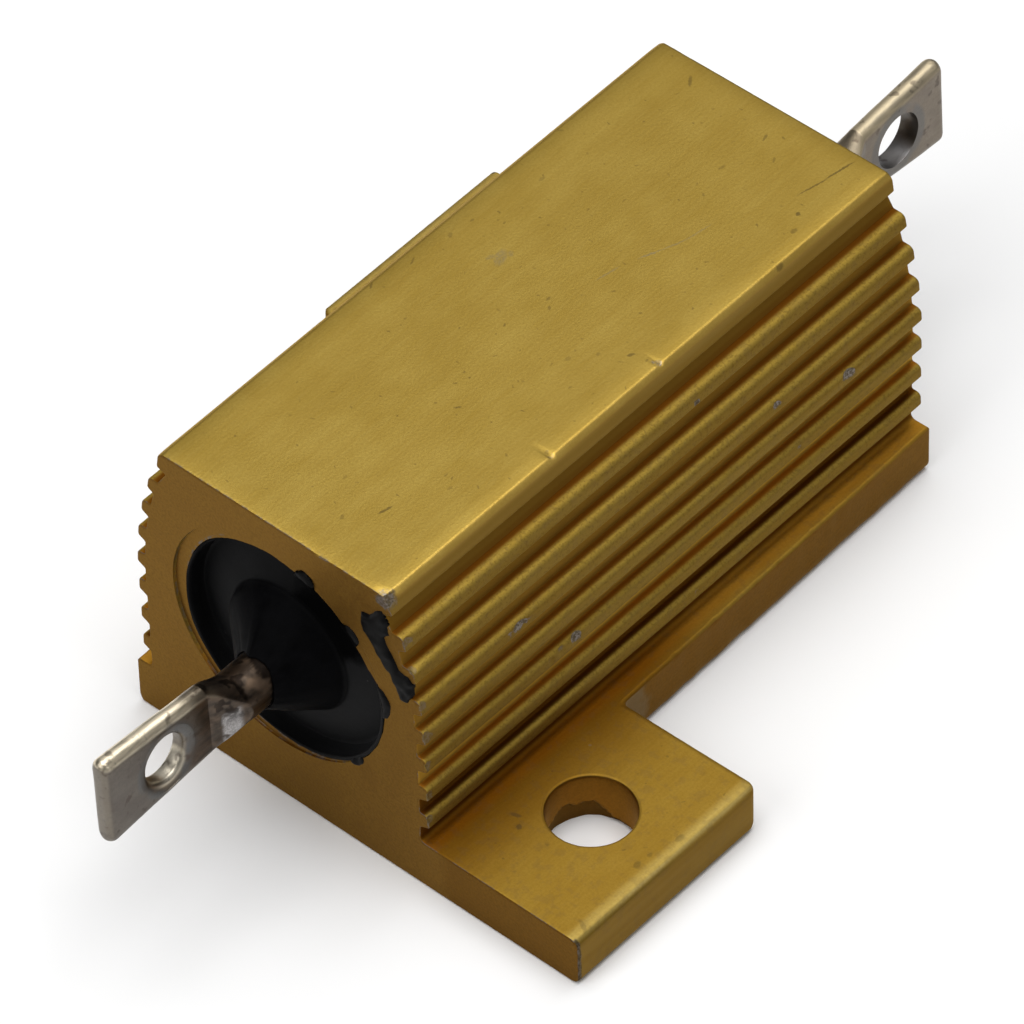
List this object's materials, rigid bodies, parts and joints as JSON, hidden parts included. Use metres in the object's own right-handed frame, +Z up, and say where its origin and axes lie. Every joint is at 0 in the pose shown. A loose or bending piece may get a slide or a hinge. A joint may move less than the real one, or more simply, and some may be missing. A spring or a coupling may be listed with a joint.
{
  "type": "wirewound resistor",
  "caption": "Power resistor: wire wound on a ceramic rod, moulded in black silicone inside a finned gold-anodised aluminium housing with mounting tabs and solder lugs.",
  "frame": {"origin": "middle of the mounting face, under the middle of the housing and its leads", "axes": "+X along the leads from the front lug to the rear lug, +Z up from the mounting face to the flat top; the front tab is at -Y, the rear tab at +Y"},
  "size_m": [0.0453, 0.0274, 0.0139],
  "materials": {
    "gold_anodised_aluminium": "satin gold anodising with fine mottle, extrusion lines, bare nicks and browner sawn faces",
    "black_silicone": "moulded, slightly glossy",
    "ceramic": "matte fired",
    "resistance_wire": "drawn wire",
    "steel_cap": "pressed",
    "tinned_copper_steel": "dull tin plate with brown stains near the moulding"
  },
  "bodies": {
    "root": {"housing": "gold_anodised_aluminium", "moulding": "black_silicone", "ceramic_core": "ceramic", "winding": "resistance_wire", "front_end_cap": "steel_cap", "rear_end_cap": "steel_cap", "front_lug": "tinned_copper_steel", "rear_lug": "tinned_copper_steel"}
  },
  "joints": []
}
